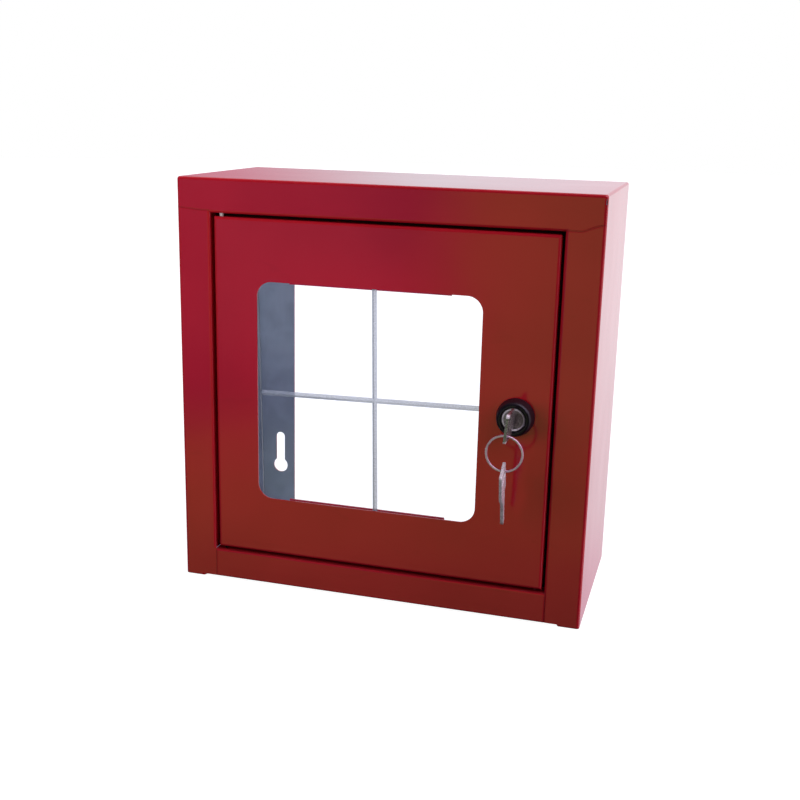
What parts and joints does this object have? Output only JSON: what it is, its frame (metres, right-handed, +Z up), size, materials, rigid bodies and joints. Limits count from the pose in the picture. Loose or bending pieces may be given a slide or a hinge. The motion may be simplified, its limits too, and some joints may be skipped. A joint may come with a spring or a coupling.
{
  "type": "break glass key box",
  "caption": "Folded steel wall box with an open back, hinged locking door, rounded window and scored break pane, cam lock with a key in it and a spare on a split ring.",
  "frame": {"origin": "on the wall plane (the back flanges' outer faces), at the middle of the four wall keyholes' head holes", "axes": "+X to the right seen from the front, +Y into the wall, +Z up"},
  "size_m": [0.3, 0.1808, 0.2987],
  "materials": {
    "black_gloss": "polished black plastic",
    "clear_pane": "clear, with a frosted scored cross",
    "key_nickel": "nickel-plated brass",
    "lock_chrome": "chromed die casting",
    "pin_steel": "turned steel",
    "red_coated_steel": "glossy crimson powder coat outside, blue-grey primer inside",
    "ring_steel": "nickel-plated spring steel",
    "spring_steel": "drawn spring wire",
    "wafer_brass": "stamped brass",
    "zinc_steel": "bright zinc plate"
  },
  "bodies": {
    "casing": {"casing_shell": "red_coated_steel", "bottom_panel": "red_coated_steel", "corner_welds": "red_coated_steel", "upper_hinge_pin": "pin_steel", "lower_hinge_pin": "pin_steel"},
    "door": {"door_panel": "red_coated_steel", "break_pane": "clear_pane", "top_pane_retainer": "red_coated_steel", "bottom_pane_retainer": "red_coated_steel", "pane_studs": "zinc_steel", "pane_nuts": "zinc_steel", "lock_rosette": "black_gloss", "lock_housing": "lock_chrome", "lock_washer": "zinc_steel", "lock_nut": "zinc_steel"},
    "lock": {"lock_plug": "lock_chrome", "wafers": "wafer_brass", "wafer_springs": "spring_steel", "stop_washer": "zinc_steel", "cam": "zinc_steel", "cam_washer": "zinc_steel", "cam_screw": "zinc_steel"},
    "key": {"inserted_key": "key_nickel"},
    "ring": {"split_ring": "ring_steel"},
    "spare": {"spare_key": "key_nickel"}
  },
  "joints": [
    {"name": "door_hinge", "type": "hinge", "parent": "casing", "child": "door", "pos_m": [-0.1175, -0.136, 0.007], "axis": [0, 0, -1], "range_deg": [0, 110]},
    {"name": "key_turn", "type": "hinge", "parent": "door", "child": "lock", "pos_m": [0.098, -0.14, 0.007], "axis": [0, 1, 0], "range_deg": [0, 85]},
    {"name": "key_pull", "type": "slide", "parent": "lock", "child": "key", "axis": [0, -1, 0], "range_m": [0, 0.022]},
    {"name": "ring_hang", "type": "hinge", "parent": "key", "child": "ring", "pos_m": [0.09727, -0.1665, -0.0014], "axis": [0, 1, 0], "range_deg": [-85, 0]},
    {"name": "spare_key_swing", "type": "hinge", "parent": "ring", "child": "spare", "pos_m": [0.09625, -0.1665, -0.0237], "axis": [-1, 0, 0], "range_deg": [-8, 60]}
  ],
  "couplings": [
    {"joint": "ring_hang", "follows": "key_turn", "ratio": -1}
  ]
}
